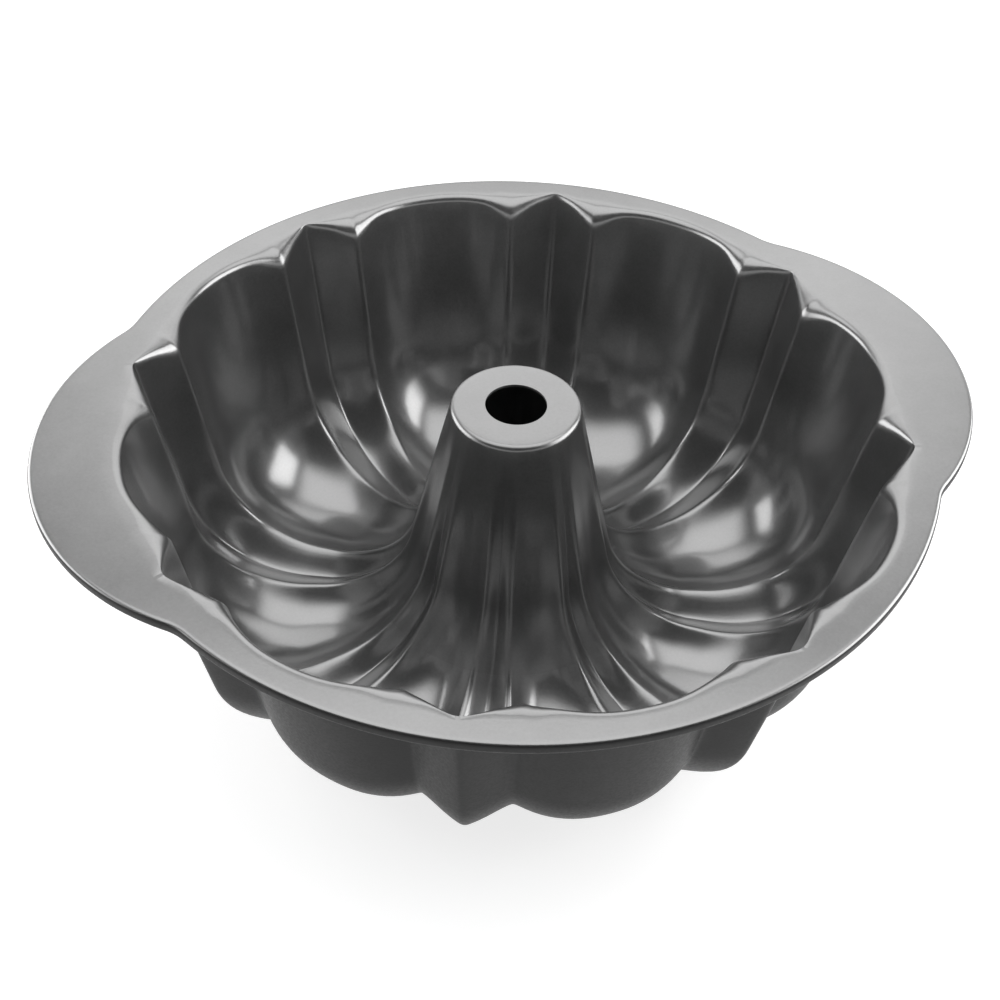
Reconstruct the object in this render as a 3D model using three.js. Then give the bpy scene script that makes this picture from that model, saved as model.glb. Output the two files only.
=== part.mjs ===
// Fluted tube pan for ring cakes: a drawn steel body with a wide rim and two handle wings, a fluted
// centre tube lapped into the floor of the body, and a wire hoop closed inside the rolled rim edge.
// Millimetres, +Z up. The origin is the middle of the surface that the pan stands on, and +X runs
// through a handle wing.

import * as THREE from 'three';
import { ParametricGeometry } from 'three/addons/geometries/ParametricGeometry.js';
import { mergeVertices } from 'three/addons/utils/BufferGeometryUtils.js';

// Driving dimensions in millimetres and degrees

// Sheet metal and fits
const SHEET = 0.8;
const SEAM_CLEARANCE = 0.3;
const SEAM_LAP = 6;

// Trough, measured on the crease lines between a lobe and a flute
const FLUTES = 8;
const CREASE_RADIUS = 111;
const TROUGH_DEPTH = 83.3;
const WALL_DRAFT = 9.4;
const OUTER_BEND = 34.5;
const INNER_BEND = 32.5;
const FLOOR_FLAT = 0.5;
const STAND_FLAT = 0.8;

// Depth of the sharp flutes and of the round lobes behind the crease lines, and the powers by which the
// flutes grow shallow round the floor and up the tube
const FLUTE_HALF_ANGLE = 7.8;
const FLUTE_AT_RIM = 9;
const FLUTE_AT_BEND = 7.6;
const FLUTE_AT_FLOOR = 3.4;
const FLUTE_BEND_POWER = 2;
const FLUTE_TUBE_POWER = 1.5;
const LOBE_AT_RIM = 7;
const LOBE_AT_BEND = 6.1;
const LOBE_AT_FLOOR = 5.2;

// Centre tube
const TUBE_BELOW_RIM = 0;
const TUBE_TOP_RADIUS = 19.8;
const TUBE_HOLE_RADIUS = 9.4;
const TUBE_DRAFT = 12.9;
const TUBE_TOP_BEND = 2.2;
const SEAM_ANGLE = 38;

// Rim and handle wings, as wide as they reach past the crease lines and past the round rim
const RIM_WIDTH = 16;
const RIM_BEND = 3;
const WING_WIDTH = 16.5;
const WING_RADIUS = 78.5;
const NOTCH_FILLET = 18;

// Wire in the rolled edge
const WIRE_DIAMETER = 1.4;
const WIRE_CLEARANCE = 0.25;
const CURL_START_ANGLE = 90;
const CURL_END_ANGLE = -165;

// Fineness of the faceted surfaces
const LOBE_STEPS = 6;
const BEND_STEPS = 3;
const OUTER_BEND_STEPS = 7;
const INNER_BEND_STEPS = 5;
const CURL_STEPS = 6;
const WIRE_SIDES = 6;

// Values that follow from the driving dimensions

const radians = THREE.MathUtils.degToRad;
const lerp = THREE.MathUtils.lerp;
const wallTilt = radians(WALL_DRAFT);
const tubeTilt = radians(TUBE_DRAFT);
const rimZ = TROUGH_DEPTH + LOBE_AT_FLOOR - STAND_FLAT + SHEET;
const floorZ = rimZ - TROUGH_DEPTH;
const tubeTopZ = rimZ - TUBE_BELOW_RIM;
const rimRadius = CREASE_RADIUS + RIM_WIDTH;
const curlRadius = WIRE_DIAMETER / 2 + WIRE_CLEARANCE + SHEET;

// How far a bend of unit radius between a drafted wall and the floor reaches out from the wall's foot.
const bendReach = (tilt) => 1 / Math.cos(tilt) - Math.tan(tilt);

// Both floor bends shrink together where the trough is too narrow for them.
const wallFoot = CREASE_RADIUS - TROUGH_DEPTH * Math.tan(wallTilt);
const tubeFoot = TUBE_TOP_RADIUS + (tubeTopZ - floorZ) * Math.tan(tubeTilt);
const bendRoom = wallFoot - tubeFoot - FLOOR_FLAT;
const bendNeed = OUTER_BEND * bendReach(wallTilt) + INNER_BEND * bendReach(tubeTilt);
const bendShare = Math.min(1, bendRoom / bendNeed);
const outerBend = OUTER_BEND * bendShare;
const innerBend = INNER_BEND * bendShare;
const outerCentre = new THREE.Vector2(wallFoot - outerBend * bendReach(wallTilt), floorZ + outerBend);
const innerCentre = new THREE.Vector2(tubeFoot + innerBend * bendReach(tubeTilt), floorZ + innerBend);

// Sections are lists of stations. A station is a point of the upper face on a crease line, with the
// direction in which flutes and lobes push it, the direction in which the sheet is thick, and how deep a
// flute and a lobe are there. Directions are angles in the plane of radius and height.

const station = (r, z, push, thick, flute, lobe) => ({ r, z, push, thick, flute, lobe });

// Depths down the outer wall, where share runs from 0 at the rim to 1 at the foot of the wall.
function wallStation(share) {
  const foot = outerCentre.clone().add(new THREE.Vector2(Math.cos(wallTilt), -Math.sin(wallTilt))
    .multiplyScalar(outerBend));
  const r = lerp(CREASE_RADIUS, foot.x, share);
  const z = lerp(rimZ, foot.y, share);
  const flute = lerp(FLUTE_AT_RIM, FLUTE_AT_BEND, share);
  const lobe = lerp(LOBE_AT_RIM, LOBE_AT_BEND, share);
  return station(r, z, -wallTilt * share, -wallTilt, flute, lobe);
}

// The bend from the wall to the floor, where flutes grow shallow quickly towards the floor.
function outerBendStation(share) {
  const angle = lerp(-wallTilt, -Math.PI / 2, share);
  const r = outerCentre.x + outerBend * Math.cos(angle);
  const z = outerCentre.y + outerBend * Math.sin(angle);
  const flute = lerp(FLUTE_AT_BEND, FLUTE_AT_FLOOR, share ** FLUTE_BEND_POWER);
  const lobe = lerp(LOBE_AT_BEND, LOBE_AT_FLOOR, share);
  return station(r, z, angle, angle, flute, lobe);
}

// From the floor up the tube both depths fade to nothing at the tube's top.
const innerBendTurn = Math.PI / 2 - tubeTilt;
const innerBendRun = innerBend * innerBendTurn;
const tubeRun = (tubeTopZ - innerCentre.y + innerBend * Math.sin(tubeTilt)) / Math.cos(tubeTilt);
const tubeFade = (run) => 1 - Math.min(1, run / (innerBendRun + tubeRun));

function innerBendStation(turn) {
  const angle = -Math.PI / 2 - turn;
  const fade = tubeFade(innerBend * turn);
  const r = innerCentre.x + innerBend * Math.cos(angle);
  const z = innerCentre.y + innerBend * Math.sin(angle);
  return station(r, z, angle, angle, FLUTE_AT_FLOOR * fade ** FLUTE_TUBE_POWER, LOBE_AT_FLOOR * fade);
}

function tubeStation(share) {
  const foot = innerBendStation(innerBendTurn);
  const angle = tubeTilt - Math.PI;
  const fade = tubeFade(innerBendRun + tubeRun * share);
  const r = lerp(foot.r, TUBE_TOP_RADIUS, share);
  const z = lerp(foot.z, tubeTopZ, share);
  return station(r, z, angle, angle, FLUTE_AT_FLOOR * fade ** FLUTE_TUBE_POWER, LOBE_AT_FLOOR * fade);
}

// A convex bend from a level upper face into a drafted wall, which starts reach away from the corner.
function topBend(corner, tilt, radius, side, flute, lobe) {
  const turn = Math.PI / 2 - tilt;
  const reach = radius * Math.tan(turn / 2);
  const stations = [];
  for (let i = 0; i <= BEND_STEPS; i += 1) {
    const angle = -Math.PI / 2 + side * turn * (i / BEND_STEPS);
    const r = corner.x + side * reach - radius * Math.cos(angle);
    const z = corner.y - radius - radius * Math.sin(angle);
    stations.push(station(r, z, 0, angle, flute, lobe));
  }
  return stations;
}

// The angle on the floor's inner bend where body and tube meet, and the lap that hides under the tube.
const seamTurn = Math.min(radians(SEAM_ANGLE), innerBendTurn);
const lapTurn = Math.min(SEAM_LAP / innerBend, innerBendTurn - seamTurn);
const clearanceTurn = SEAM_CLEARANCE / innerBend;
const sheetTurn = SHEET / innerBend;

const steps = (count, make) => Array.from({ length: count }, (_, i) => make((i + 1) / count));

// Places round the pan: each lobe is a row of steps between its two creases, and each flute one sharp line.
function azimuths() {
  const pitch = (2 * Math.PI) / FLUTES;
  const lobeHalf = pitch / 2 - radians(FLUTE_HALF_ANGLE);
  const places = [];
  for (let k = 0; k < FLUTES; k += 1) {
    for (let i = 0; i <= LOBE_STEPS; i += 1) {
      const across = (2 * i) / LOBE_STEPS - 1;
      places.push({ angle: k * pitch + across * lobeHalf, flute: 0, lobe: 1 - across * across });
    }
    places.push({ angle: (k + 0.5) * pitch, flute: 1, lobe: 0 });
  }
  return places;
}

// A point of the sheet at a station and a place, as deep under the upper face as asked. Lobes are pressed
// level where the pan stands.
function sheetPoint(at, place, deep) {
  const push = place.flute * at.flute + place.lobe * at.lobe;
  const r = at.r + push * Math.cos(at.push) + deep * Math.cos(at.thick);
  const z = at.z + push * Math.sin(at.push) + deep * Math.sin(at.thick);
  const lowest = Math.max(0, SHEET - deep);
  return new THREE.Vector3(r * Math.cos(place.angle), r * Math.sin(place.angle), Math.max(z, lowest));
}

// Outline of the rim: a circle, a larger arc for each wing, and a fillet in each of the four notches.
// It gives the edge point and the outward direction there.
const wingCentre = rimRadius + WING_WIDTH - WING_RADIUS;
const filletCentre = (() => {
  const fromPan = rimRadius + NOTCH_FILLET;
  const fromWing = WING_RADIUS + NOTCH_FILLET;
  const x = (fromPan ** 2 - fromWing ** 2 + wingCentre ** 2) / (2 * wingCentre);
  return new THREE.Vector2(x, Math.sqrt(fromPan ** 2 - x ** 2));
})();

function rimEdge(angle) {
  const ray = new THREE.Vector2(Math.abs(Math.cos(angle)), Math.abs(Math.sin(angle)));
  const wing = new THREE.Vector2(wingCentre, 0);
  const wingEnd = wing.clone().add(filletCentre.clone().sub(wing).setLength(WING_RADIUS));
  const along = (centre) => ray.dot(centre);
  const aside = (centre) => ray.cross(centre);
  let edge = ray.clone().multiplyScalar(rimRadius);
  let outward = ray.clone();
  if (ray.angle() < wingEnd.angle()) {
    edge = ray.clone().multiplyScalar(along(wing) + Math.sqrt(WING_RADIUS ** 2 - aside(wing) ** 2));
    outward = edge.clone().sub(wing).normalize();
  } else if (ray.angle() < filletCentre.angle()) {
    const half = Math.sqrt(NOTCH_FILLET ** 2 - aside(filletCentre) ** 2);
    edge = ray.clone().multiplyScalar(along(filletCentre) - half);
    outward = filletCentre.clone().sub(edge).normalize();
  }
  const mirror = new THREE.Vector2(Math.sign(Math.cos(angle)) || 1, Math.sign(Math.sin(angle)) || 1);
  return { edge: edge.multiply(mirror), outward: outward.multiply(mirror) };
}

// A point of the rolled edge, at an angle round the middle of the roll.
function curlPoint(place, angle, radius) {
  const { edge, outward } = rimEdge(place.angle);
  const spot = edge.addScaledVector(outward, radius * Math.cos(angle) - curlRadius);
  return new THREE.Vector3(spot.x, spot.y, rimZ - curlRadius + radius * Math.sin(angle));
}

// A closed tube-like solid through one closed section for each place round the pan.
function sweep(sections) {
  const around = sections.length;
  const along = sections[0].length;
  const onGrid = (u, v, target) => {
    const section = sections[Math.round(u * around) % around];
    target.copy(section[Math.round(v * along) % along]);
  };
  const geometry = new ParametricGeometry(onGrid, around, along);
  geometry.deleteAttribute('normal');
  geometry.deleteAttribute('uv');
  const closed = mergeVertices(geometry);
  closed.computeVertexNormals();
  return closed;
}

// The drawn body, from the end of the rolled edge over the rim and down to the lap under the tube.
function flutedBody() {
  const rimCorner = new THREE.Vector2(CREASE_RADIUS, rimZ);
  const run = [
    ...topBend(rimCorner, wallTilt, RIM_BEND, 1, FLUTE_AT_RIM, LOBE_AT_RIM),
    wallStation(0.5),
    wallStation(1),
    ...steps(OUTER_BEND_STEPS, outerBendStation),
    innerBendStation(0),
    innerBendStation(seamTurn / 2),
  ];
  const seam = innerBendStation(seamTurn);
  const step = innerBendStation(seamTurn - sheetTurn);
  const lapEnd = innerBendStation(seamTurn + lapTurn);
  const lapDepth = SHEET + SEAM_CLEARANCE;
  const uncurl = (share) => lerp(CURL_END_ANGLE, CURL_START_ANGLE, share);
  const curlAngles = [uncurl(0), ...steps(CURL_STEPS, uncurl)];
  return sweep(azimuths().map((place) => [
    ...curlAngles.map((angle) => curlPoint(place, radians(angle), curlRadius)),
    ...run.map((at) => sheetPoint(at, place, 0)),
    sheetPoint(seam, place, 0),
    sheetPoint(seam, place, lapDepth),
    sheetPoint(lapEnd, place, lapDepth),
    sheetPoint(lapEnd, place, lapDepth + SHEET),
    sheetPoint(step, place, lapDepth + SHEET),
    sheetPoint(step, place, SHEET),
    ...run.toReversed().map((at) => sheetPoint(at, place, SHEET)),
    ...curlAngles.toReversed().map((angle) => curlPoint(place, radians(angle), curlRadius - SHEET)),
  ]));
}

// The drawn tube, from its lower edge on the lap to the edge of the hole in its top.
function centreTube() {
  const bendTurns = steps(INNER_BEND_STEPS, (share) => lerp(seamTurn + clearanceTurn, innerBendTurn, share));
  const topCorner = new THREE.Vector2(TUBE_TOP_RADIUS, tubeTopZ);
  const run = [
    innerBendStation(seamTurn + clearanceTurn),
    ...bendTurns.map(innerBendStation),
    tubeStation(0.5),
    ...topBend(topCorner, tubeTilt, TUBE_TOP_BEND, -1, 0, 0).toReversed(),
    station(TUBE_HOLE_RADIUS, tubeTopZ, 0, -Math.PI / 2, 0, 0),
  ];
  return sweep(azimuths().map((place) => [
    ...run.map((at) => sheetPoint(at, place, 0)),
    ...run.toReversed().map((at) => sheetPoint(at, place, SHEET)),
  ]));
}

// The wire hoop in the middle of the rolled edge.
function rimWire() {
  const turns = steps(WIRE_SIDES, (share) => 2 * Math.PI * share);
  return sweep(azimuths().map((place) => turns.map((turn) => curlPoint(place, turn, WIRE_DIAMETER / 2))));
}

const coatedSteel = () => new THREE.MeshStandardMaterial({ color: 0x55565a, roughness: 0.42, metalness: 0.6 });
const bareWire = () => new THREE.MeshStandardMaterial({ color: 0xa3a5a6, roughness: 0.35, metalness: 1 });

const pan = new THREE.Group();
const pieces = [
  ['fluted_body', flutedBody, coatedSteel],
  ['centre_tube', centreTube, coatedSteel],
  ['rim_wire', rimWire, bareWire],
];
for (const [name, shape, finish] of pieces) {
  const piece = new THREE.Mesh(shape(), finish());
  piece.name = name;
  pan.add(piece);
}

export default pan;
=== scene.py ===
"""Fluted tube pan as it looks: drawn sheet, rolled edge and coats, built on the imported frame.

Lengths are in metres and angles in radians, unless a name or a unit beside the value says otherwise.
"""

import logging
import math
from collections.abc import Callable
from dataclasses import dataclass, field, replace
from enum import Enum
from functools import partial

import bpy
import numpy as np
from mathutils import Matrix, Vector

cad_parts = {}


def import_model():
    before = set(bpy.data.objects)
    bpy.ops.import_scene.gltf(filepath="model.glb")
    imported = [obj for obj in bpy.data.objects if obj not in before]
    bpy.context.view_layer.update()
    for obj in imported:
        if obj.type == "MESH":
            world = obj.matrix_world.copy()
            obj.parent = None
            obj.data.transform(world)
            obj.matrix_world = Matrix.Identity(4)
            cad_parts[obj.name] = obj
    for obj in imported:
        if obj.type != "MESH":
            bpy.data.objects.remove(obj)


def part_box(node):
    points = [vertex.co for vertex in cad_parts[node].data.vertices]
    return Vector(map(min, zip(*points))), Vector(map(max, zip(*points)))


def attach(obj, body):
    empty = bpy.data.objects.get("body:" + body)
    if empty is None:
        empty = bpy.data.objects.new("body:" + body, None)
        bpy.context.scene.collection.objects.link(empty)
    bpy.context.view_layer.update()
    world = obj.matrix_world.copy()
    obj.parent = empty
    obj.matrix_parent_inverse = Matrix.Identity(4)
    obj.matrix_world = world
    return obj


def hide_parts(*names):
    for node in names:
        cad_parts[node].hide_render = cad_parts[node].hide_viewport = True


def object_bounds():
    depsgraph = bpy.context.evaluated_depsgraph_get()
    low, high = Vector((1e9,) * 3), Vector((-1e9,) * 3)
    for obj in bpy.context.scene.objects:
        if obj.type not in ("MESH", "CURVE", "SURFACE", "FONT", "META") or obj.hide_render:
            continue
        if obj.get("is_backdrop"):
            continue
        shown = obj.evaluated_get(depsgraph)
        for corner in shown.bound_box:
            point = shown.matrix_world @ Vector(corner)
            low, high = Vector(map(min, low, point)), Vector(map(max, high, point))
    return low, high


MM = 0.001
# A length too small to see: points closer than this are merged, and the rim keeps this far inside its box.
HAIR = 0.001 * MM
BODY = "root"
LOG = logging.getLogger("tube_pan")

Place = Callable[[np.ndarray], np.ndarray]
Values = float | np.ndarray
Colour = tuple[float, float, float]
Span = tuple[float, float]
Tree = bpy.types.NodeTree
Socket = bpy.types.NodeSocket


class Coat(Enum):
    """The finishes of the drawn sheet, in the order of its material slots; the last is painted shade on
    the rolled edge.
    """

    INSIDE = 0
    OUTSIDE = 1
    # A near-black coat on the roll's outer and lower side, painted shade under the rolled edge.
    EDGE = 2


def soft_max(a: Values, b: Values, soft: Values) -> Values:
    """The larger of two values, with the corner between them rounded.

    Args:
        a: First values.
        b: Second values.
        soft: How far the corner is rounded, in the values' own unit.

    Returns:
        The rounded maximum.
    """
    return 0.5 * (a + b + np.sqrt((a - b) ** 2 + soft**2))


def mix(a: Values, b: Values, share: Values) -> Values:
    """Goes from a to b as share goes from 0 to 1."""
    return a + (b - a) * share


def round_corner(
    start: np.ndarray, corner: np.ndarray, end: np.ndarray, turn: float, share: float
) -> np.ndarray:
    """A point of the arc that leaves start towards the corner and arrives at end from it.

    Args:
        start: Where the arc begins, one row for each place.
        corner: Where its two tangents meet.
        end: Where it ends.
        turn: The angle that the arc turns through.
        share: How far along the arc the point is, from 0 to 1.

    Returns:
        The points, one row for each place.
    """
    weights = ((1 - share) ** 2, 2 * share * (1 - share) * math.cos(turn / 2), share**2)
    blended = sum(w * p for w, p in zip(weights, (start, corner, end)))
    return blended / sum(weights)


def around(radius: Values, height: Values, azimuth: np.ndarray) -> np.ndarray:
    """Points at a radius, a height and an azimuth, as rows of x, y and z."""
    spread = np.broadcast_arrays(radius * np.cos(azimuth), radius * np.sin(azimuth), height)
    return np.stack(spread, axis=-1)


@dataclass(frozen=True)
class FluteForm:
    """The pattern pressed round the pan: sharp flutes between round lobes.

    Attributes:
        count: Number of flutes, and of lobes.
        half_angle: From a flute's line to the crease beside it.
        ridge_soft: How far the crease is rounded.
        valley_soft: How far the flute's line is rounded.
        crease_keep: Share of the rounding by which the whole form is drawn back, so that the creases stay.
        lobe_power: How full a lobe is; at 2 its section is a parabola.
        faded_at: Depth of flute and lobe together below which the crease grows sharper again.
        crease_density: How much closer the mesh is on a crease than between.
        crease_spread: How far beside a crease it is closer.
        valley_density: How much closer the mesh is in a flute's line.
        valley_spread: How far beside the line it is closer.
        fineness: How many times finer than the mesh its spacing is worked out.
    """

    count: int = 8
    half_angle: float = math.radians(7.8)
    ridge_soft: float = 1.5 * MM
    valley_soft: float = math.radians(0.4)
    crease_keep: float = 0.35
    lobe_power: float = 2.4
    faded_at: float = 5.0 * MM
    crease_density: float = 8.0
    crease_spread: float = math.radians(0.9)
    valley_density: float = 6.0
    valley_spread: float = math.radians(0.8)
    fineness: int = 40

    @property
    def pitch(self) -> float:
        """The angle from one flute to the next."""
        return math.tau / self.count

    def away(self, azimuth: np.ndarray) -> np.ndarray:
        """The angle from the nearest flute's line."""
        return np.abs(np.mod(azimuth, self.pitch) - self.pitch / 2)

    def depth(self, azimuth: np.ndarray, flute: float, lobe: float, fold: float = 0.0) -> np.ndarray:
        """How far the sheet is pressed out behind the crease lines.

        Args:
            azimuth: Places round the pan.
            flute: Depth of a flute at its line.
            lobe: Depth of a lobe at its middle.
            fold: How much of a flute's fall is drawn together halfway down its faces.

        Returns:
            The depth at each place.
        """
        away = self.away(azimuth)
        down = np.sqrt(away**2 + self.valley_soft**2) / self.half_angle
        groove = 1 - down + fold * np.sin(math.tau * np.minimum(down, 1)) / math.tau
        across = (self.pitch / 2 - away) / (self.pitch / 2 - self.half_angle)
        soft = self.ridge_soft * min(1.0, (flute + lobe) / self.faded_at)
        rounded = soft_max(flute * groove, lobe * (1 - across**self.lobe_power), soft)
        return rounded - self.crease_keep * soft

    def ridge(self, azimuth: np.ndarray, spread: float) -> np.ndarray:
        """One on a crease line, falling to nothing at a spread from it."""
        return np.exp(-(((self.away(azimuth) - self.half_angle) / spread) ** 2))

    def azimuths(self, count: int) -> np.ndarray:
        """Places round the pan, closest together on the creases and in the flutes.

        Args:
            count: How many places.

        Returns:
            The azimuths, beginning in the middle of the first lobe.
        """
        even = np.linspace(0, math.tau, self.fineness * count + 1)
        density = 1 + self.crease_density * self.ridge(even, self.crease_spread)
        density += self.valley_density * np.exp(-((self.away(even) / self.valley_spread) ** 2))
        run = np.concatenate(([0], np.cumsum((density[1:] + density[:-1]) / 2)))
        return np.interp(np.arange(count) / count, run / run[-1], even)


@dataclass(frozen=True)
class RimOutline:
    """The outline of the flat rim: a circle, a larger arc for each wing and a fillet in each notch."""

    radius: float
    wing_reach: float
    wing_radius: float = 78.5 * MM
    notch_fillet: float = 18.0 * MM

    def edge(self, azimuth: np.ndarray) -> tuple[np.ndarray, np.ndarray]:
        """The edge points and the outward directions there.

        Args:
            azimuth: Places round the pan.

        Returns:
            Rows of x and y for the points, and for the directions.
        """
        wing = self.wing_reach - self.wing_radius
        from_pan = self.radius + self.notch_fillet
        from_wing = self.wing_radius + self.notch_fillet
        fillet_x = (from_pan**2 - from_wing**2 + wing**2) / (2 * wing)
        fillet = np.array((fillet_x, math.sqrt(from_pan**2 - fillet_x**2)))
        centre = np.array((wing, 0.0))
        wing_end = centre + (fillet - centre) * self.wing_radius / from_wing

        ray = np.stack((np.abs(np.cos(azimuth)), np.abs(np.sin(azimuth))), axis=-1)
        angle = np.arctan2(ray[:, 1], ray[:, 0])[:, None]
        aside = ray[:, :1] * centre[1] - ray[:, 1:] * centre[0]
        on_wing = ray * (ray @ centre[:, None] + np.sqrt(np.maximum(self.wing_radius**2 - aside**2, 0)))
        aside = ray[:, :1] * fillet[1] - ray[:, 1:] * fillet[0]
        on_fillet = ray * (ray @ fillet[:, None] - np.sqrt(np.maximum(self.notch_fillet**2 - aside**2, 0)))

        in_wing = angle < math.atan2(wing_end[1], wing_end[0])
        in_fillet = ~in_wing & (angle < math.atan2(fillet[1], fillet[0]))
        point = np.where(in_wing, on_wing, np.where(in_fillet, on_fillet, ray * self.radius))
        outward = np.where(in_wing, point - centre, np.where(in_fillet, fillet - point, ray))
        outward /= np.linalg.norm(outward, axis=1, keepdims=True)
        sides = np.stack((np.sign(np.cos(azimuth)), np.sign(np.sin(azimuth))), axis=-1)
        sides[sides == 0] = 1
        return point * sides, outward * sides


@dataclass(frozen=True)
class PanProfile:
    """The pan's section, from the rolled edge to the hole in the tube, with its flutes and lobes."""

    rim_z: float
    outline: RimOutline
    flutes: FluteForm = FluteForm()
    sheet: float = 0.8 * MM

    # The trough: where its creases leave the rim and cross the floor, its walls and its bends.
    crease_radius: float = 111.0 * MM
    trough_depth: float = 81.5 * MM
    wall_draft: float = math.radians(9.4)
    outer_bend: float = 34.5 * MM
    inner_bend: float = 32.5 * MM
    stand_soft: float = 0.3 * MM

    # How deep flutes and lobes are pressed, how far a flute's fall is drawn together, how both change.
    flute_at_rim: float = 9.0 * MM
    flute_at_bend: float = 8.0 * MM
    flute_at_floor: float = 6.2 * MM
    fold_at_bend: float = 0.05
    fold_at_floor: float = 0.15
    flute_bend_power: float = 2.0
    flute_tube_power: float = 1.4
    lobe_tube_power: float = 1.25
    lobe_at_rim: float = 7.0 * MM
    lobe_at_bend: float = 6.1 * MM
    lobe_at_floor: float = 7.0 * MM

    # The tube: its flank, the bend at its top and the hole.
    tube_top_radius: float = 19.8 * MM
    tube_hole_radius: float = 9.4 * MM
    tube_draft: float = math.radians(12.9)
    tube_top_bend: float = 2.0 * MM

    # The bend from rim to wall, wide over the creases and blunt at a flute's tip, and the rolled edge.
    lobe_rim_bend: float = 2.8 * MM
    ridge_rim_bend: float = 8.0 * MM
    ridge_spread: float = math.radians(3.2)
    tip_soft: float = math.radians(2.4)
    curl_radius: float = 1.75 * MM
    curl_square: float = 3.6

    # The lap under the tube: where it begins, the room over it, the open slit, its length and its step.
    seam_turn: float = math.radians(38)
    seam_gap: float = 0.45 * MM
    seam_slit: float = 0.015 * MM
    seam_lap: float = 6.0 * MM
    seam_joggle: float = 0.3 * MM

    @property
    def floor_z(self) -> float:
        """Height of the crease lines where they cross the floor."""
        return self.rim_z - self.trough_depth

    @property
    def outer_centre(self) -> float:
        """Radius on which the bend from wall to floor is centred."""
        foot = self.crease_radius - self.trough_depth * math.tan(self.wall_draft)
        return foot - self.outer_bend * (1 / math.cos(self.wall_draft) - math.tan(self.wall_draft))

    @property
    def inner_centre(self) -> float:
        """Radius on which the bend from floor to tube is centred."""
        foot = self.tube_top_radius + self.trough_depth * math.tan(self.tube_draft)
        return foot + self.inner_bend * (1 / math.cos(self.tube_draft) - math.tan(self.tube_draft))

    @property
    def inner_turn(self) -> float:
        """The angle that the bend from floor to tube turns through."""
        return math.pi / 2 - self.tube_draft

    @property
    def rim_turn(self) -> float:
        """The angle that the bend from rim to wall turns through."""
        return math.pi / 2 - self.wall_draft

    @property
    def tube_run(self) -> float:
        """Length of the straight flank of the tube."""
        foot = self.floor_z + self.inner_bend * (1 - math.sin(self.tube_draft))
        return (self.rim_z - foot) / math.cos(self.tube_draft)

    @property
    def top_reach(self) -> float:
        """How far the bend at the tube's top reaches from its corner."""
        return self.tube_top_bend * math.tan(self.inner_turn / 2)

    def pressed(
        self, r: Values, z: Values, push: Values, depth: np.ndarray, azimuth: np.ndarray
    ) -> np.ndarray:
        """Points of the upper face once flutes and lobes are pressed and the lobes stand level.

        Args:
            r: Radius of the crease line.
            z: Its height.
            push: Direction of the pressing in the plane of radius and height.
            depth: How far the sheet is pressed.
            azimuth: Places round the pan.

        Returns:
            Rows of x, y and z.
        """
        height = soft_max(z + depth * np.sin(push), self.sheet, self.stand_soft)
        return around(r + depth * np.cos(push), height, azimuth)

    def wall(self, share: Values, azimuth: np.ndarray) -> np.ndarray:
        """Points of the outer wall.

        Args:
            share: From 0 at the rim's level to 1 at the foot.
            azimuth: Places round the pan.

        Returns:
            Rows of x, y and z.
        """
        foot_r = self.outer_centre + self.outer_bend * math.cos(self.wall_draft)
        foot_z = self.floor_z + self.outer_bend * (1 - math.sin(self.wall_draft))
        r = mix(self.crease_radius, foot_r, share)
        z = mix(self.rim_z, foot_z, share)
        at_rim = self.flutes.depth(azimuth, self.flute_at_rim, self.lobe_at_rim)
        at_foot = self.flutes.depth(azimuth, self.flute_at_bend, self.lobe_at_bend, self.fold_at_bend)
        return self.pressed(r, z, -self.wall_draft * share, mix(at_rim, at_foot, share), azimuth)

    def outer_floor(self, share: float, azimuth: np.ndarray) -> np.ndarray:
        """Points of the bend from wall to floor.

        Args:
            share: From 0 at the wall to 1 at the floor.
            azimuth: Places round the pan.

        Returns:
            Rows of x, y and z.
        """
        angle = mix(-self.wall_draft, -math.pi / 2, share)
        r = self.outer_centre + self.outer_bend * math.cos(angle)
        z = self.floor_z + self.outer_bend * (1 + math.sin(angle))
        flute = mix(self.flute_at_bend, self.flute_at_floor, share**self.flute_bend_power)
        lobe = mix(self.lobe_at_bend, self.lobe_at_floor, share)
        fold = mix(self.fold_at_bend, self.fold_at_floor, share)
        return self.pressed(r, z, angle, self.flutes.depth(azimuth, flute, lobe, fold), azimuth)

    def up_tube(self, run: float, azimuth: np.ndarray) -> np.ndarray:
        """How deep the sheet is pressed at a run up from the floor towards the tube's top.

        Args:
            run: Length along the crease line from the floor.
            azimuth: Places round the pan.

        Returns:
            The depth at each place.
        """
        fade = max(1 - run / (self.inner_bend * self.inner_turn + self.tube_run), 0.0)
        flute = self.flute_at_floor * fade**self.flute_tube_power
        lobe = self.lobe_at_floor * fade**self.lobe_tube_power
        return self.flutes.depth(azimuth, flute, lobe, self.fold_at_floor)

    def inner_floor(self, turn: float, azimuth: np.ndarray, under: float = 0.0) -> np.ndarray:
        """Points of the bend from floor to tube.

        Args:
            turn: Angle turned from the floor.
            azimuth: Places round the pan.
            under: How far under the upper face the points lie.

        Returns:
            Rows of x, y and z.
        """
        angle = -math.pi / 2 - turn
        r = self.inner_centre + self.inner_bend * math.cos(angle)
        z = self.floor_z + self.inner_bend * (1 + math.sin(angle))
        depth = self.up_tube(self.inner_bend * turn, azimuth) + under
        return self.pressed(r, z, angle, depth, azimuth)

    def tube(self, share: float, azimuth: np.ndarray) -> np.ndarray:
        """Points of the tube's flank.

        Args:
            share: From 0 at its foot to 1 at the rim's level.
            azimuth: Places round the pan.

        Returns:
            Rows of x, y and z.
        """
        angle = self.tube_draft - math.pi
        r = mix(self.inner_centre + self.inner_bend * math.cos(angle), self.tube_top_radius, share)
        z = mix(self.floor_z + self.inner_bend * (1 + math.sin(angle)), self.rim_z, share)
        depth = self.up_tube(self.inner_bend * self.inner_turn + self.tube_run * share, azimuth)
        return self.pressed(r, z, angle, depth, azimuth)

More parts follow.
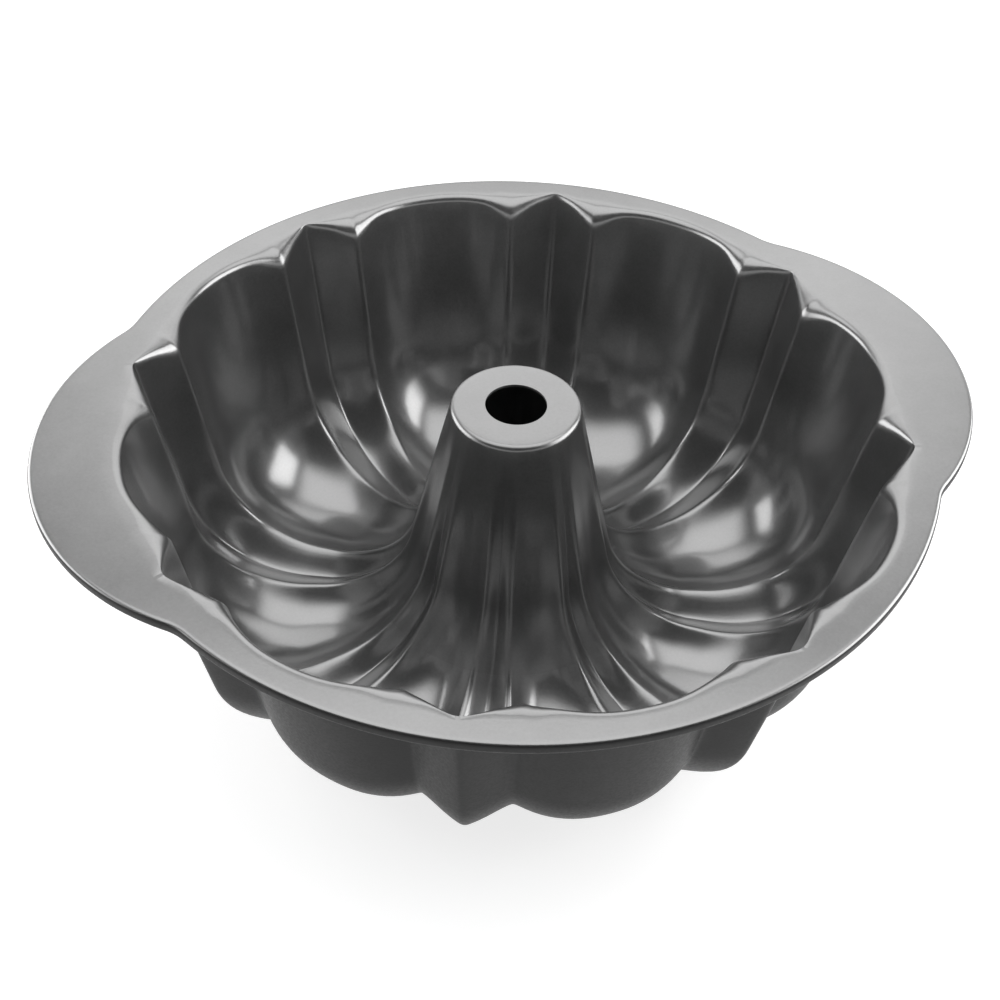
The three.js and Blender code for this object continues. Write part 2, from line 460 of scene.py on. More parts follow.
    def tube_top(self, share: float, azimuth: np.ndarray) -> np.ndarray:
        """Points of the bend from the tube's flank to its level top.

        Args:
            share: From 0 at the flank to 1 at the level ring.
            azimuth: Places round the pan.

        Returns:
            Rows of x, y and z.
        """
        start = self.tube(1 - self.top_reach / self.tube_run, azimuth)
        corner = self.ring(self.tube_top_radius, azimuth)
        end = self.ring(self.tube_top_radius - self.top_reach, azimuth)
        return round_corner(start, corner, end, self.inner_turn, share)

    def ring(self, radius: float, azimuth: np.ndarray) -> np.ndarray:
        """Points of the tube's level top at a radius."""
        return around(np.full_like(azimuth, radius), self.rim_z, azimuth)

    def rim_bend(self, share: float, azimuth: np.ndarray) -> np.ndarray:
        """Points of the bend from the flat rim down into the wall, with share from 0 to 1 along it."""
        return round_corner(*self.rim_bend_ends(azimuth), self.rim_turn, share)

    def rim_bend_ends(self, azimuth: np.ndarray) -> tuple[np.ndarray, np.ndarray, np.ndarray]:
        """The ends of the rim's bend and the corner between them.

        Args:
            azimuth: Places round the pan.

        Returns:
            Where the bend begins, where its tangents meet and where it ends, as rows of x, y and z.
        """
        reach = self.rim_bend_reach(azimuth)
        blunt = replace(self.flutes, valley_soft=self.tip_soft)
        opening = self.crease_radius + blunt.depth(azimuth, self.flute_at_rim, self.lobe_at_rim)
        start = around(opening + reach, self.rim_z, azimuth)
        return start, self.wall(0.0, azimuth), self.wall(self.wall_share(reach), azimuth)

    def rim_bend_reach(self, azimuth: np.ndarray) -> np.ndarray:
        """How far the rim's bend reaches from its corner.

        Args:
            azimuth: Places round the pan.

        Returns:
            The reach at each place, largest over the creases.
        """
        ridge = self.flutes.ridge(azimuth, self.ridge_spread)
        radius = mix(self.lobe_rim_bend, self.ridge_rim_bend, ridge)
        return radius * math.tan(self.rim_turn / 2)

    def wall_share(self, run: np.ndarray) -> np.ndarray:
        """The share of the wall that a run down from the rim's level is."""
        height = self.rim_z - self.floor_z - self.outer_bend * (1 - math.sin(self.wall_draft))
        return run * math.cos(self.wall_draft) / height

    def lower_wall(self, share: float, azimuth: np.ndarray) -> np.ndarray:
        """Points of the wall below the rim's bend, with share from 0 there to 1 at the foot."""
        top = self.wall_share(self.rim_bend_reach(azimuth))
        return self.wall(mix(top, 1.0, share), azimuth)

    def curl(self, angle: float, azimuth: np.ndarray, radius: float, square: float = 2.0) -> np.ndarray:
        """Points at an angle round the middle of the rolled edge.

        Args:
            angle: Angle from the outward direction, positive upwards.
            azimuth: Places round the pan.
            radius: Distance from the middle, level and upright.
            square: How square the roll is; at 2 it is round.

        Returns:
            Rows of x, y and z.
        """
        edge, outward = self.outline.edge(azimuth)
        out, up = math.cos(angle), math.sin(angle)
        reach = radius / (abs(out) ** square + abs(up) ** square) ** (1 / square)
        spot = edge + outward * (reach * out - self.curl_radius)
        height = np.full(len(azimuth), self.rim_z - self.curl_radius + reach * up)
        return np.column_stack((spot, height))

    def rim(self, share: float, azimuth: np.ndarray) -> np.ndarray:
        """Points of the flat rim, with share from 0 at the rolled edge to 1 at the bend."""
        rolled = self.curl(math.pi / 2, azimuth, self.curl_radius)
        return mix(rolled, self.rim_bend_ends(azimuth)[0], share)


def shares(count: int) -> list[float]:
    """Evenly spaced shares, the last of which is 1."""
    return [(i + 1) / count for i in range(count)]


def select_none() -> None:
    """Leaves object mode with nothing selected."""
    if bpy.context.mode != "OBJECT":
        bpy.ops.object.mode_set(mode="OBJECT")
    bpy.ops.object.select_all(action="DESELECT")


def select_only(piece: bpy.types.Object) -> None:
    """Leaves object mode with one piece selected and active.

    Args:
        piece: The piece.
    """
    select_none()
    piece.select_set(True)
    bpy.context.view_layer.objects.active = piece


def grey(level: float) -> Colour:
    """A colour without a hue."""
    return (level, level, level)


def set_sockets(node: bpy.types.Node, values: dict[str, object]) -> None:
    """Sets the named input sockets of a node."""
    for name, value in values.items():
        node.inputs[name].default_value = value


def new_material(name: str) -> bpy.types.Material:
    """Makes a material of nodes.

    Args:
        name: The material's name.

    Returns:
        The material, with a plain shader and an output.
    """
    material = bpy.data.materials.new(name)
    material.use_nodes = True
    return material


def noise(tree: Tree, size: float, detail: float, rough: float) -> Socket:
    """Adds a noise that lies fixed in the piece.

    Args:
        tree: The material's nodes.
        size: Size of its coarsest spots.
        detail: How many finer layers it has.
        rough: How strong the finer layers are.

    Returns:
        Its value, from 0 to 1.
    """
    place = tree.nodes.new("ShaderNodeTexCoord")
    texture = tree.nodes.new("ShaderNodeTexNoise")
    set_sockets(texture, {"Scale": 1 / size, "Detail": detail, "Roughness": rough})
    tree.links.new(place.outputs["Object"], texture.inputs["Vector"])
    return texture.outputs["Fac"]


def two_tone(tree: Tree, value: Socket, tones: tuple[Colour, Colour], span: Span) -> Socket:
    """Adds a colour that goes from one tone to another.

    Args:
        tree: The material's nodes.
        value: What the colour follows.
        tones: The two tones.
        span: The values at which they are reached.

    Returns:
        The colour.
    """
    ramp = tree.nodes.new("ShaderNodeValToRGB")
    for stop, tone, position in zip(ramp.color_ramp.elements, tones, span):
        stop.position = position
        stop.color = (*tone, 1)
    tree.links.new(value, ramp.inputs["Fac"])
    return ramp.outputs["Color"]


def map_range(
    tree: Tree, value: Socket, span: Span, result: Span = (0.0, 1.0), ease: bool = False
) -> Socket:
    """Adds a value that follows another one between two ends.

    Args:
        tree: The nodes that it is added to.
        value: What it follows.
        span: The other value at the two ends.
        result: The new value there.
        ease: Whether it sets out and arrives softly.

    Returns:
        The new value.
    """
    node = tree.nodes.new("ShaderNodeMapRange")
    node.interpolation_type = "SMOOTHSTEP" if ease else "LINEAR"
    set_sockets(node, dict(zip(("From Min", "From Max", "To Min", "To Max"), (*span, *result))))
    tree.links.new(value, node.inputs["Value"])
    return node.outputs["Result"]


def combine(tree: Tree, operation: str, a: Socket, b: Socket | float) -> Socket:
    """Adds a value that is worked out from two others.

    Args:
        tree: The nodes that it is added to.
        operation: How it is worked out.
        a: The first value.
        b: The second one, or a number.

    Returns:
        The new value.
    """
    node = tree.nodes.new("ShaderNodeMath")
    node.operation = operation
    tree.links.new(a, node.inputs[0])
    if isinstance(b, float):
        node.inputs[1].default_value = b
    else:
        tree.links.new(b, node.inputs[1])
    return node.outputs[0]


@dataclass(frozen=True)
class SatinCoat:
    """A dark non-stick coat with a fine grain, cloudy where it was sprayed thicker.

    Attributes:
        name: The material's name.
        dark: Colour in the coat's darker clouds.
        pale: Colour in its paler clouds.
        rough_low: Roughness where the coat is smoothest.
        rough_high: Roughness where it is dullest.
        metallic: How metallic the coat is.
        ior: Index of refraction, which sets how strongly it mirrors.
        glaze: Weight of the smooth glaze over the coat.
        glaze_steep: Share of the glaze that stays on steep faces, where it runs thinner.
        steep: How far a face looks up where the glaze is thinnest; 0 is upright and 1 level.
        level: How far it looks up where the glaze is whole again.
        glaze_rough: Roughness of the glaze.
        glaze_ior: Index of refraction of the glaze.
        grain: Height of the fine grain.
        grain_strength: How strongly the grain shows.
        grain_size: Size of a grain.
        grain_detail: How many finer layers the grain has.
        grain_mix: How strong they are.
        grain_share: Share of the grain in the coat's colour, beside the clouds.
        cloud_size: Size of a cloud.
        cloud_detail: How many finer layers the clouds have.
        cloud_mix: How strong they are.
        noise_span: Values of grain and clouds between which colour and roughness change.
    """

    name: str
    dark: Colour
    pale: Colour
    rough_low: float
    rough_high: float
    metallic: float = 0.0
    ior: float = 1.5
    glaze: float = 0.0
    glaze_steep: float = 0.6
    steep: float = 0.15
    level: float = 0.55
    glaze_rough: float = 0.12
    glaze_ior: float = 1.5
    grain: float = 0.03 * MM
    grain_strength: float = 0.4
    grain_size: float = 0.9 * MM
    grain_detail: float = 3.0
    grain_mix: float = 0.6
    grain_share: float = 0.35
    cloud_size: float = 22.0 * MM
    cloud_detail: float = 4.0
    cloud_mix: float = 0.55
    noise_span: Span = (0.3, 0.7)

    def glaze_weight(self, tree: Tree) -> Socket:
        """Adds the weight of the glaze, which is less where a face is steep.

        Args:
            tree: The material's nodes.

        Returns:
            The weight.
        """
        place = tree.nodes.new("ShaderNodeTexCoord")
        facing = tree.nodes.new("ShaderNodeSeparateXYZ")
        tree.links.new(place.outputs["Normal"], facing.inputs[0])
        weights = (self.glaze * self.glaze_steep, self.glaze)
        return map_range(tree, facing.outputs["Z"], (self.steep, self.level), weights)

    def make(self) -> bpy.types.Material:
        """Builds the material.

        Returns:
            The new material.
        """
        material = new_material(self.name)
        tree = material.node_tree
        nodes, links = tree.nodes, tree.links
        shader = nodes["Principled BSDF"]
        set_sockets(shader, {"Metallic": self.metallic, "IOR": self.ior})
        set_sockets(shader, {"Coat Roughness": self.glaze_rough, "Coat IOR": self.glaze_ior})
        if self.glaze > 0:
            links.new(self.glaze_weight(tree), shader.inputs["Coat Weight"])

        grains = noise(tree, self.grain_size, self.grain_detail, self.grain_mix)
        clouds = noise(tree, self.cloud_size, self.cloud_detail, self.cloud_mix)
        speckle = nodes.new("ShaderNodeMix")
        set_sockets(speckle, {"Factor": self.grain_share})
        links.new(clouds, speckle.inputs["A"])
        links.new(grains, speckle.inputs["B"])
        colour = two_tone(tree, speckle.outputs["Result"], (self.dark, self.pale), self.noise_span)
        links.new(colour, shader.inputs["Base Color"])
        rough = map_range(tree, grains, self.noise_span, (self.rough_low, self.rough_high))
        links.new(rough, shader.inputs["Roughness"])

        bump = nodes.new("ShaderNodeBump")
        set_sockets(bump, {"Strength": self.grain_strength, "Distance": self.grain})
        links.new(grains, bump.inputs["Height"])
        for socket in ("Normal", "Coat Normal"):
            links.new(bump.outputs["Normal"], shader.inputs[socket])
        return material


@dataclass(frozen=True)
class DrawnWire:
    """Bare drawn steel wire with fine marks along it."""

    name: str = "drawn_wire"
    dark: Colour = (0.32, 0.32, 0.33)
    pale: Colour = (0.55, 0.55, 0.56)
    rough_low: float = 0.25
    rough_high: float = 0.5
    mark_size: float = 0.4 * MM
    mark_detail: float = 4.0
    mark_mix: float = 0.5
    mark_span: Span = (0.0, 1.0)

    def make(self) -> bpy.types.Material:
        """Builds the material.

        Returns:
            The new material.
        """
        material = new_material(self.name)
        tree = material.node_tree
        shader = tree.nodes["Principled BSDF"]
        set_sockets(shader, {"Metallic": 1.0})
        marks = noise(tree, self.mark_size, self.mark_detail, self.mark_mix)
        colour = two_tone(tree, marks, (self.dark, self.pale), self.mark_span)
        tree.links.new(colour, shader.inputs["Base Color"])
        rough = map_range(tree, marks, self.mark_span, (self.rough_low, self.rough_high))
        tree.links.new(rough, shader.inputs["Roughness"])
        return material


@dataclass
class DrawnPiece:
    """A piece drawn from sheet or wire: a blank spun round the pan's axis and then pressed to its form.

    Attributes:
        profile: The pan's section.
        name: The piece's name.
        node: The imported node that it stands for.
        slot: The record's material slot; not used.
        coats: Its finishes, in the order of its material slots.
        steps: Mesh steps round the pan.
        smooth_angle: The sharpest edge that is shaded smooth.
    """

    profile: PanProfile
    name: str
    node: str
    slot: str
    coats: list[SatinCoat | DrawnWire]
    steps: int = 512
    smooth_angle: float = math.radians(38)

    def stations(self) -> list[Place]:
        """The section's points, each as a function that places it round the pan."""
        raise NotImplementedError

    def blank(self, section: np.ndarray) -> bpy.types.Object:
        """Spins a section into a round blank.

        Args:
            section: Rows of radius and height along the section.

        Returns:
            The blank, in object mode.
        """
        select_none()
        start = (section[0, 0], 0.0, section[0, 1])
        bpy.ops.mesh.primitive_plane_add(size=self.profile.sheet, location=start)
        piece = bpy.context.object
        bpy.ops.object.transform_apply(location=True, rotation=True, scale=True)
        bpy.ops.object.mode_set(mode="EDIT")
        bpy.ops.mesh.select_all(action="SELECT")
        bpy.ops.mesh.merge(type="CENTER")
        for step in np.diff(section, axis=0):
            bpy.ops.mesh.extrude_vertices_move(TRANSFORM_OT_translate={"value": (step[0], 0.0, step[1])})
        self.spin_round(piece)
        return piece

    def spin_round(self, piece: bpy.types.Object) -> None:
        """Spins a section round the pan's axis and closes the blank.

        Args:
            piece: The section, in edit mode.
        """
        bpy.ops.mesh.select_all(action="SELECT")
        bpy.ops.mesh.spin(steps=self.steps, angle=math.tau, center=(0, 0, 0), axis=(0, 0, 1))
        bpy.ops.mesh.select_all(action="SELECT")
        bpy.ops.mesh.remove_doubles(threshold=HAIR)
        bpy.ops.mesh.normals_make_consistent(inside=False)
        bpy.ops.object.mode_set(mode="OBJECT")
        piece.name = piece.data.name = self.name

    def press(self, piece: bpy.types.Object, places: list[Place], section: np.ndarray) -> np.ndarray:
        """Moves the blank's points to the pressed form.

        Args:
            piece: The round blank.
            places: The section's points as functions of the azimuth.
            section: Rows of radius and height that the blank was spun from.

        Returns:
            The section point that each vertex belongs to.
        """
        mesh = piece.data
        flat = np.empty(3 * len(mesh.vertices))
        mesh.vertices.foreach_get("co", flat)
        points = flat.reshape(-1, 3)
        spot = np.column_stack((np.hypot(points[:, 0], points[:, 1]), points[:, 2]))
        station = np.argmin(np.linalg.norm(spot[:, None] - section[None], axis=2), axis=1)
        turn = np.arctan2(points[:, 1], points[:, 0]) / math.tau
        column = np.rint(turn * self.steps).astype(int) % self.steps
        azimuth = self.profile.flutes.azimuths(self.steps)[column]
        for index, place in enumerate(places):
            mine = station == index
            points[mine] = place(azimuth[mine])
        mesh.vertices.foreach_set("co", points.ravel())
        mesh.update()
        return station

    def face_up(self, piece: bpy.types.Object) -> None:
        """Turns the open sheet's faces to its upper side, if they look down.

        Args:
            piece: The pressed sheet.
        """
        levels = np.array([polygon.normal.z * polygon.area for polygon in piece.data.polygons])
        if levels.sum() < 0:
            select_only(piece)
            bpy.ops.object.mode_set(mode="EDIT")
            bpy.ops.mesh.select_all(action="SELECT")
            bpy.ops.mesh.flip_normals()
            bpy.ops.object.mode_set(mode="OBJECT")

    def thicken(self, piece: bpy.types.Object) -> None:
        """Gives the sheet its thickness, under its upper face and with the outside coat there.

        Args:
            piece: The open sheet.
        """
        solidify = piece.modifiers.new("sheet", "SOLIDIFY")
        solidify.thickness = self.profile.sheet
        solidify.offset = -1.0
        solidify.use_even_offset = True
        solidify.material_offset = Coat.OUTSIDE.value
        solidify.material_offset_rim = Coat.OUTSIDE.value
        select_only(piece)
        bpy.ops.object.modifier_apply(modifier=solidify.name)

    def finish(self, piece: bpy.types.Object) -> bpy.types.Object:
        """Smooths the piece, seats it on the frame and takes the place of its node.

        Args:
            piece: The modelled piece.

        Returns:
            The same piece.
        """
        select_only(piece)
        bpy.ops.object.shade_smooth_by_angle(angle=self.smooth_angle)
        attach(piece, BODY)
        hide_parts(self.node)
        select_none()
        return piece

    def dress(self, piece: bpy.types.Object) -> None:
        """Gives the piece its coats, in the order of its material slots."""
        for coat in self.coats:
            piece.data.materials.append(coat.make())

    def build(self) -> bpy.types.Object:
        """Models the piece.

        Returns:
            The finished piece.
        """
        places = self.stations()
        through_lobe = np.array([math.pi / 2])
        corners = np.array([place(through_lobe)[0] for place in places])
        section = np.column_stack((np.hypot(corners[:, 0], corners[:, 1]), corners[:, 2]))
        piece = self.blank(section)
        station = self.press(piece, places, section)
        self.face_up(piece)
        self.dress(piece)
        self.coat(piece, station)
        self.thicken(piece)
        return self.finish(piece)

    def coat(self, piece: bpy.types.Object, station: np.ndarray) -> None:
        """Chooses the coat of each face; a plain piece has its first coat all over."""


@dataclass
class FlutedBody(DrawnPiece):
    """The drawn body: rolled edge, flat rim with wings, fluted trough and the lap under the tube."""

    # Where the roll ends inside and where its painted shade ends, as angles from the outward direction.
    curl_start: float = math.radians(-205)
    painted_shade_below: float = math.radians(46)

    # Mesh steps along each part of the section.
    curl_steps: int = 26
    rim_steps: int = 5
    bend_steps: int = 8
    wall_steps: int = 12
    outer_steps: int = 20
    inner_steps: int = 16
    lap_steps: int = 3

    def stations(self) -> list[Place]:
        """The section from the end of the roll over the rim and down to the lap.

        Returns:
            Functions that place the section's points round the pan.
        """
        p = self.profile
        places: list[Place] = []
        for share in (0.0, *shares(self.curl_steps)):
            angle = mix(self.curl_start, math.pi / 2, share)
            places.append(partial(p.curl, angle, radius=p.curl_radius, square=p.curl_square))
        for part, steps in (
            (p.rim, self.rim_steps),
            (p.rim_bend, self.bend_steps),
            (p.lower_wall, self.wall_steps),
            (p.outer_floor, self.outer_steps),
        ):
            places += [partial(part, share) for share in shares(steps)]
        # The steps shorten towards the seam, so that the shading meets the tube's there.
        for share in shares(self.inner_steps):
            places.append(partial(p.inner_floor, p.seam_turn * (1 - (1 - share) ** 2)))
        lap_turn = p.seam_turn + p.seam_joggle / p.inner_bend
        for share in (0.0, *shares(self.lap_steps)):
            turn = lap_turn + share * p.seam_lap / p.inner_bend
            places.append(partial(p.inner_floor, turn, under=p.sheet + p.seam_gap))
        return places

    def coat(self, piece: bpy.types.Object, station: np.ndarray) -> None:
        """Paints shade on the outer and lower part of the roll with the near-black edge coat.

        Args:
            piece: The pressed sheet.
            station: The section point that each vertex belongs to.
        """
        painted_shade_share = (self.painted_shade_below - self.curl_start) / (math.pi / 2 - self.curl_start)
        last = int(painted_shade_share * self.curl_steps)
        for polygon in piece.data.polygons:
            if all(station[v] <= last for v in polygon.vertices):
                polygon.material_index = Coat.EDGE.value


@dataclass
class CentreTube(DrawnPiece):
    """The drawn tube: from its lower edge on the lap to the hole in its level top."""

    # Mesh steps along each part of the section.
    bend_steps: int = 18
    flank_steps: int = 16
    top_steps: int = 8
    ring_steps: int = 5

    def stations(self) -> list[Place]:
        """The section from the lower edge up to the hole.

        Returns:
            Functions that place the section's points round the pan.
        """
        p = self.profile
        low = p.seam_turn + p.seam_slit / p.inner_bend
        places: list[Place] = []
        # The steps shorten towards the seam, as the body's do.
        for share in (0.0, *shares(self.bend_steps)):
            places.append(partial(p.inner_floor, mix(low, p.inner_turn, share**2)))
        for share in shares(self.flank_steps):
            places.append(partial(p.tube, share * (1 - p.top_reach / p.tube_run)))
        for share in shares(self.top_steps):
            places.append(partial(p.tube_top, share))
        for share in shares(self.ring_steps):
            radius = mix(p.tube_top_radius - p.top_reach, p.tube_hole_radius, share)
            places.append(partial(p.ring, radius))
        return places


@dataclass
class RimWire(DrawnPiece):
    """The wire hoop that the edge of the body is rolled round."""

    wire_radius: float = 0.7 * MM
    sides: int = 12

    def stations(self) -> list[Place]:
        """The round section of the wire."""
        turns = [math.tau * i / self.sides for i in range(self.sides)]
        return [partial(self.profile.curl, turn, radius=self.wire_radius) for turn in turns]

    def blank(self, section: np.ndarray) -> bpy.types.Object:
        """Spins a round section into a hoop.

        Args:
            section: Rows of radius and height round the section.

        Returns:
            The hoop, in object mode.
        """
        select_none()
        middle = section.mean(axis=0)
        bpy.ops.mesh.primitive_circle_add(
            vertices=self.sides,
            radius=self.wire_radius,
            location=(middle[0], 0.0, middle[1]),
            rotation=(math.pi / 2, 0.0, 0.0),
        )
        hoop = bpy.context.object
        bpy.ops.object.transform_apply(location=True, rotation=True, scale=True)
        bpy.ops.object.mode_set(mode="EDIT")
        self.spin_round(hoop)
        return hoop

    def thicken(self, piece: bpy.types.Object) -> None:
        """A wire is already solid."""

    def face_up(self, piece: bpy.types.Object) -> None:
        """A closed wire already faces outwards."""


@dataclass(frozen=True)
class TentPanel:
    """A lit panel of the light tent round the pan.

    Attributes:
        name: The lamp's name.
        centre: Its middle, from the middle of the rim: to the camera's right, away from it and up.
        look: The direction that it faces, in the same frame.
        size: Its width and height.
        radiance: Brightness of its face, where 1 is white.
        soft: Shares over which it fades out: at the two ends of its width and of its height.
    """

    name: str
    centre: tuple[float, float, float]
    look: tuple[float, float, float]
    size: tuple[float, float]
    radiance: float
    soft: tuple[float, float, float, float]

    def fade(self, lamp: bpy.types.AreaLight) -> None:
        """Lets the panel fade out towards its edges.

        Args:
            lamp: The panel's lamp.
        """
        lamp.use_nodes = True
        tree = lamp.node_tree
        face = tree.nodes.new("ShaderNodeNewGeometry")
        across = tree.nodes.new("ShaderNodeSeparateXYZ")
        tree.links.new(face.outputs["Parametric"], across.inputs[0])
        fades = []
        for edge, share in enumerate(self.soft):
            axis, end = divmod(edge, 2)
            fades.append(map_range(tree, across.outputs[axis], (end, abs(end - share)), ease=True))
        strength = fades[0]
        for fade in fades[1:]:
            strength = combine(tree, "MULTIPLY", strength, fade)
        tree.links.new(strength, tree.nodes["Emission"].inputs["Strength"])

    def place(self, aim: Vector, spin: Matrix) -> bpy.types.Object:
        """Sets the panel up.

        Args:
            aim: The middle of the rim.
            spin: Turns the camera's right and far directions into the pan's own frame.

        Returns:
            The lamp.
        """
        lamp = bpy.data.lights.new(self.name, "AREA")
        lamp.shape = "RECTANGLE"
        lamp.size, lamp.size_y = self.size
        # An even face sends out pi times its radiance for each unit of its area.
        lamp.energy = self.radiance * math.pi * self.size[0] * self.size[1]
        self.fade(lamp)
        panel = bpy.data.objects.new(self.name, lamp)
        bpy.context.scene.collection.objects.link(panel)
        behind = -Vector(self.look).normalized()
        # The height of a panel overhead lies along the direction away from the camera.
        upright = Vector((0, 1, 0)) if self.look[2] else Vector((0, 0, 1))
        across = upright.cross(behind).normalized()
        frame = Matrix((across, behind.cross(across), behind)).transposed()
        panel.rotation_euler = (spin @ frame).to_euler()
        panel.location = aim + spin @ Vector(self.centre)
        return panel


def turned(a: Vector, b: Vector, angle: float) -> tuple[Vector, Vector]:
    """Turns two square directions in their own plane, the second towards the first."""
    return a * math.cos(angle) - b * math.sin(angle), a * math.sin(angle) + b * math.cos(angle)


@dataclass(frozen=True)
class StudioCamera:
    """The camera at the photograph's place, aimed close to the middle of the rim."""

    distance: float = 441.4 * MM
    elevation: float = math.radians(40.087)
    bearing: float = math.radians(17.338)
    yaw: float = math.radians(-0.461)
    pitch: float = math.radians(-3.781)
    roll: float = math.radians(-2.643)
    lens_mm: float = 52.418
    sensor_mm: float = 36.0

    @property
    def spin(self) -> Matrix:
        """Turns the camera's right and far directions into the pan's own frame."""
        return Matrix.Rotation(-self.bearing, 3, "Z")

    def place(self, aim: Vector) -> bpy.types.Object:
        """Sets the camera up.

        Args:
            aim: The middle of the rim.

        Returns:
            The camera.
        """
        data = bpy.data.cameras.new("camera")
        data.sensor_width = self.sensor_mm
        data.lens = self.lens_mm
        camera = bpy.data.objects.new("camera", data)
        bpy.context.scene.collection.objects.link(camera)
        right = self.spin @ Vector((1, 0, 0))
        up = self.spin @ Vector((0, math.sin(self.elevation), math.cos(self.elevation)))
        ahead = self.spin @ Vector((0, math.cos(self.elevation), -math.sin(self.elevation)))
        camera.location = aim - ahead * self.distance
        right, ahead = turned(right, ahead, self.yaw)
        up, ahead = turned(up, ahead, self.pitch)
        right, up = turned(right, up, self.roll)
        camera.rotation_euler = Matrix((right, up, -ahead)).transposed().to_euler()
        return camera


@dataclass(frozen=True)
class PaleFloor:
    """A plain pale floor that keeps the pan's soft shadow and runs out into a low white backdrop.

    Attributes:
        size: Side of the floor, and diameter of the backdrop round it.
        rise: Height of the backdrop.
        sides: Number of flat sides of the backdrop.
        colour: How pale it is under the light.
        covered: Radius of the part that the pan covers, which has no glow.
        near_glow: Brightness that is added to what is seen of it beside the pan.
        far_glow: The same where the tent's light no longer reaches.
        near: How far from the pan's axis the near part reaches.
        far: Where the far part begins.
    """

    size: float = 6.0
    rise: float = 1.1
    sides: int = 96
    colour: float = 0.47
    covered: float = 0.045
    near_glow: float = 0.8
    far_glow: float = 1.0
    near: float = 0.16
    far: float = 0.34

    def glow(self, tree: Tree) -> bpy.types.Node:
        """Adds the brightness that only the camera, mirroring and clear surfaces see.

        Args:
            tree: The material's nodes.

        Returns:
            The emission node.
        """
        place = tree.nodes.new("ShaderNodeTexCoord")
        away = tree.nodes.new("ShaderNodeVectorMath")
        away.operation = "LENGTH"
        tree.links.new(place.outputs["Object"], away.inputs[0])
        distance = away.outputs["Value"]
        glows = (self.near_glow, self.far_glow)
        strength = map_range(tree, distance, (self.near, self.far), glows, ease=True)
        beside = combine(tree, "GREATER_THAN", distance, self.covered)
        path = tree.nodes.new("ShaderNodeLightPath")
        seen = path.outputs["Is Camera Ray"]
        for ray in ("Is Glossy Ray", "Is Transmission Ray"):
            seen = combine(tree, "MAXIMUM", seen, path.outputs[ray])
        for share in (beside, seen):
            strength = combine(tree, "MULTIPLY", strength, share)
        glow = tree.nodes.new("ShaderNodeEmission")
        tree.links.new(strength, glow.inputs["Strength"])
        return glow

    def finish(self) -> bpy.types.Material:
        """Makes the pale finish of floor and backdrop.

        Returns:
            The new material.
        """
        material = new_material("pale_floor")
        tree = material.node_tree
        tree.nodes.remove(tree.nodes["Principled BSDF"])
        diffuse = tree.nodes.new("ShaderNodeBsdfDiffuse")
        set_sockets(diffuse, {"Color": (*grey(self.colour), 1)})
        both = tree.nodes.new("ShaderNodeAddShader")
        tree.links.new(diffuse.outputs[0], both.inputs[0])
        tree.links.new(self.glow(tree).outputs[0], both.inputs[1])
        tree.links.new(both.outputs[0], tree.nodes["Material Output"].inputs["Surface"])
        return material

    def place(self) -> None:
        """Lays the floor at the level that the pan stands on, with the backdrop round it."""
        select_none()
        bpy.ops.mesh.primitive_plane_add(size=self.size, location=(0, 0, 0))
        floor = bpy.context.object
        floor.name = "floor"
        bpy.ops.mesh.primitive_cylinder_add(
            vertices=self.sides,
            radius=self.size / 2,
            depth=self.rise,
            end_fill_type="NOTHING",
            location=(0, 0, self.rise / 2),
        )
        backdrop = bpy.context.object
        backdrop.name = "backdrop"
        bpy.ops.object.transform_apply(location=True, rotation=True, scale=True)
        pale = self.finish()
        for stage in (floor, backdrop):
            stage.data.materials.append(pale)
            stage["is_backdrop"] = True
        select_none()


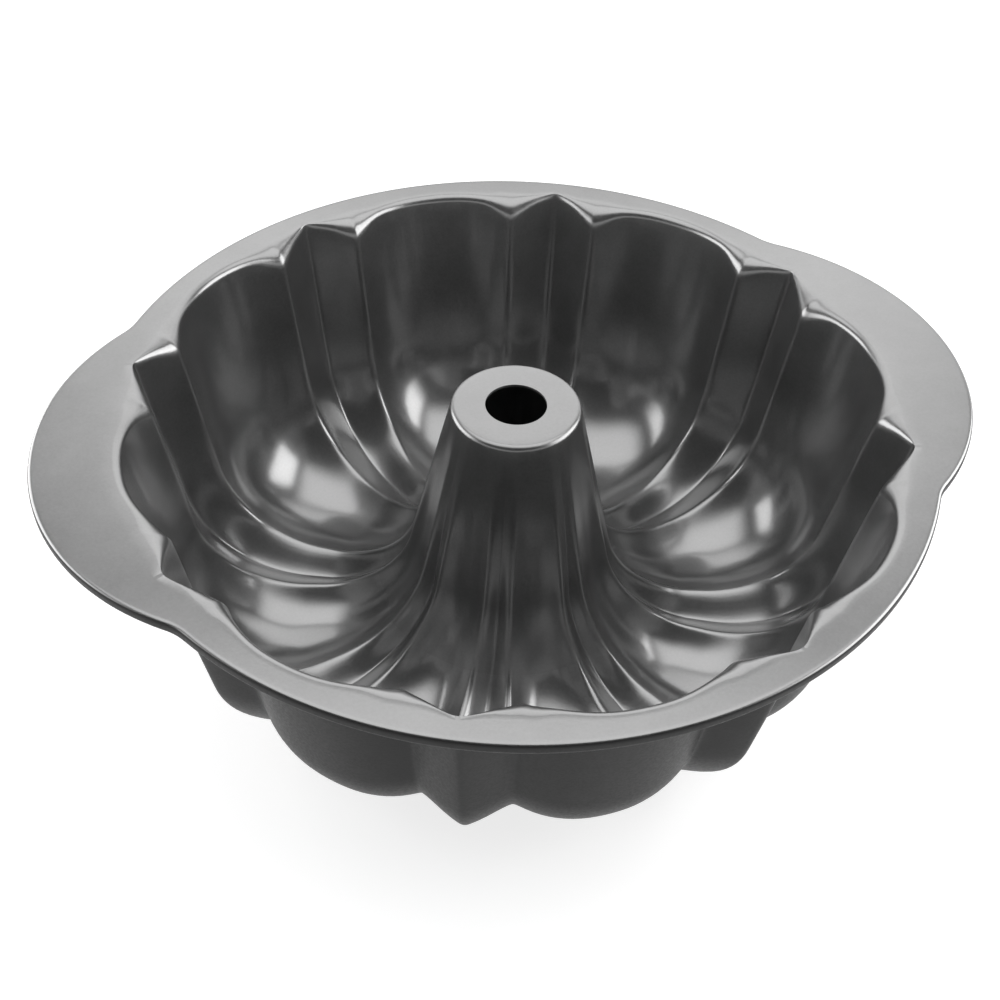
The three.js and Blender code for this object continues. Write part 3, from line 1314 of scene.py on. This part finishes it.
@dataclass
class Studio:
    """Floor, lights and camera round the pan."""

    aim: Vector
    camera: StudioCamera = field(default_factory=StudioCamera)
    floor: PaleFloor = field(default_factory=PaleFloor)
    ambient: float = 0.045
    panels: tuple[TentPanel, ...] = (
        TentPanel(
            "top_panel",
            centre=(-0.03, 0.04, 0.51),
            look=(0, 0, -1),
            size=(1.0, 0.70),
            radiance=2.65,
            soft=(0.28, 0.2, 0.35, 0.18),
        ),
        TentPanel(
            "right_panel",
            centre=(0.31, -0.02, 0.18),
            look=(-1, 0, 0),
            size=(0.44, 0.32),
            radiance=5.1,
            soft=(0.45, 0.12, 0.1, 0.2),
        ),
        TentPanel(
            "left_panel",
            centre=(-0.31, 0.01, 0.115),
            look=(1, 0, 0),
            size=(0.46, 0.25),
            radiance=4.0,
            soft=(0.12, 0.45, 0.1, 0.2),
        ),
        TentPanel(
            "back_panel",
            centre=(0.0, 0.33, 0.26),
            look=(0, -1, 0),
            size=(0.95, 0.48),
            radiance=2.25,
            soft=(0.36, 0.36, 0.36, 0.30),
        ),
    )

    def build(self) -> None:
        """Sets up the floor, the lights, the air and the camera."""
        scene = bpy.context.scene
        scene.view_settings.view_transform = "Standard"
        self.floor.place()
        for panel in self.panels:
            panel.place(self.aim, self.camera.spin)
        world = bpy.data.worlds.new("studio_air")
        world.use_nodes = True
        background = world.node_tree.nodes["Background"]
        set_sockets(background, {"Color": (*grey(1.0), 1), "Strength": self.ambient})
        scene.world = world
        scene.camera = self.camera.place(self.aim)


def pan_profile() -> PanProfile:
    """The pan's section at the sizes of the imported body.

    Returns:
        The profile.
    """
    low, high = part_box("fluted_body")
    outline = RimOutline(radius=high[1], wing_reach=high[0])
    return PanProfile(rim_z=high[2] - low[2] - HAIR, outline=outline)


def main() -> None:
    """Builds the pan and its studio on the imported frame."""
    logging.basicConfig(level=logging.INFO, format="%(message)s")
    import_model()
    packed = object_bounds()
    profile = pan_profile()

    inside = SatinCoat(
        "inside_coat",
        dark=grey(0.064),
        pale=grey(0.1),
        rough_low=0.34,
        rough_high=0.42,
        metallic=0.65,
        glaze=1.0,
        glaze_rough=0.17,
        glaze_ior=2.12,
    )
    flank = replace(inside, name="tube_coat", dark=grey(0.058), pale=grey(0.092), glaze_rough=0.23)
    outside = SatinCoat(
        "outside_coat",
        dark=grey(0.004),
        pale=grey(0.018),
        rough_low=0.34,
        rough_high=0.48,
        ior=1.26,
        grain_share=0.6,
    )
    hollow = SatinCoat(
        "hollow_coat", dark=grey(0.065), pale=grey(0.09), rough_low=0.4, rough_high=0.5, ior=1.35
    )
    # Near-black coat on the roll's outer and lower side: painted shade under the rolled edge.
    edge = SatinCoat(
        "painted_shade_edge_coat", dark=grey(0.008), pale=grey(0.016), rough_low=0.4, rough_high=0.55, ior=1.37
    )
    pieces = (
        FlutedBody(profile, "fluted_sheet", "fluted_body", "coated_steel", [inside, outside, edge]),
        CentreTube(profile, "tube_sheet", "centre_tube", "coated_steel", [flank, hollow]),
        RimWire(profile, "edge_wire", "rim_wire", "bare_wire", [DrawnWire()]),
    )
    for piece in pieces:
        made = piece.build()
        LOG.info("%s: %d faces, for %s", made.name, len(made.data.polygons), piece.node)

    Studio(aim=Vector((0.0, 0.0, profile.rim_z))).build()
    boxes = {"packed": packed, "visual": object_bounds()}
    plain = {name: [list(map(float, corner)) for corner in box] for name, box in boxes.items()}


if __name__ == "__main__":
    main()
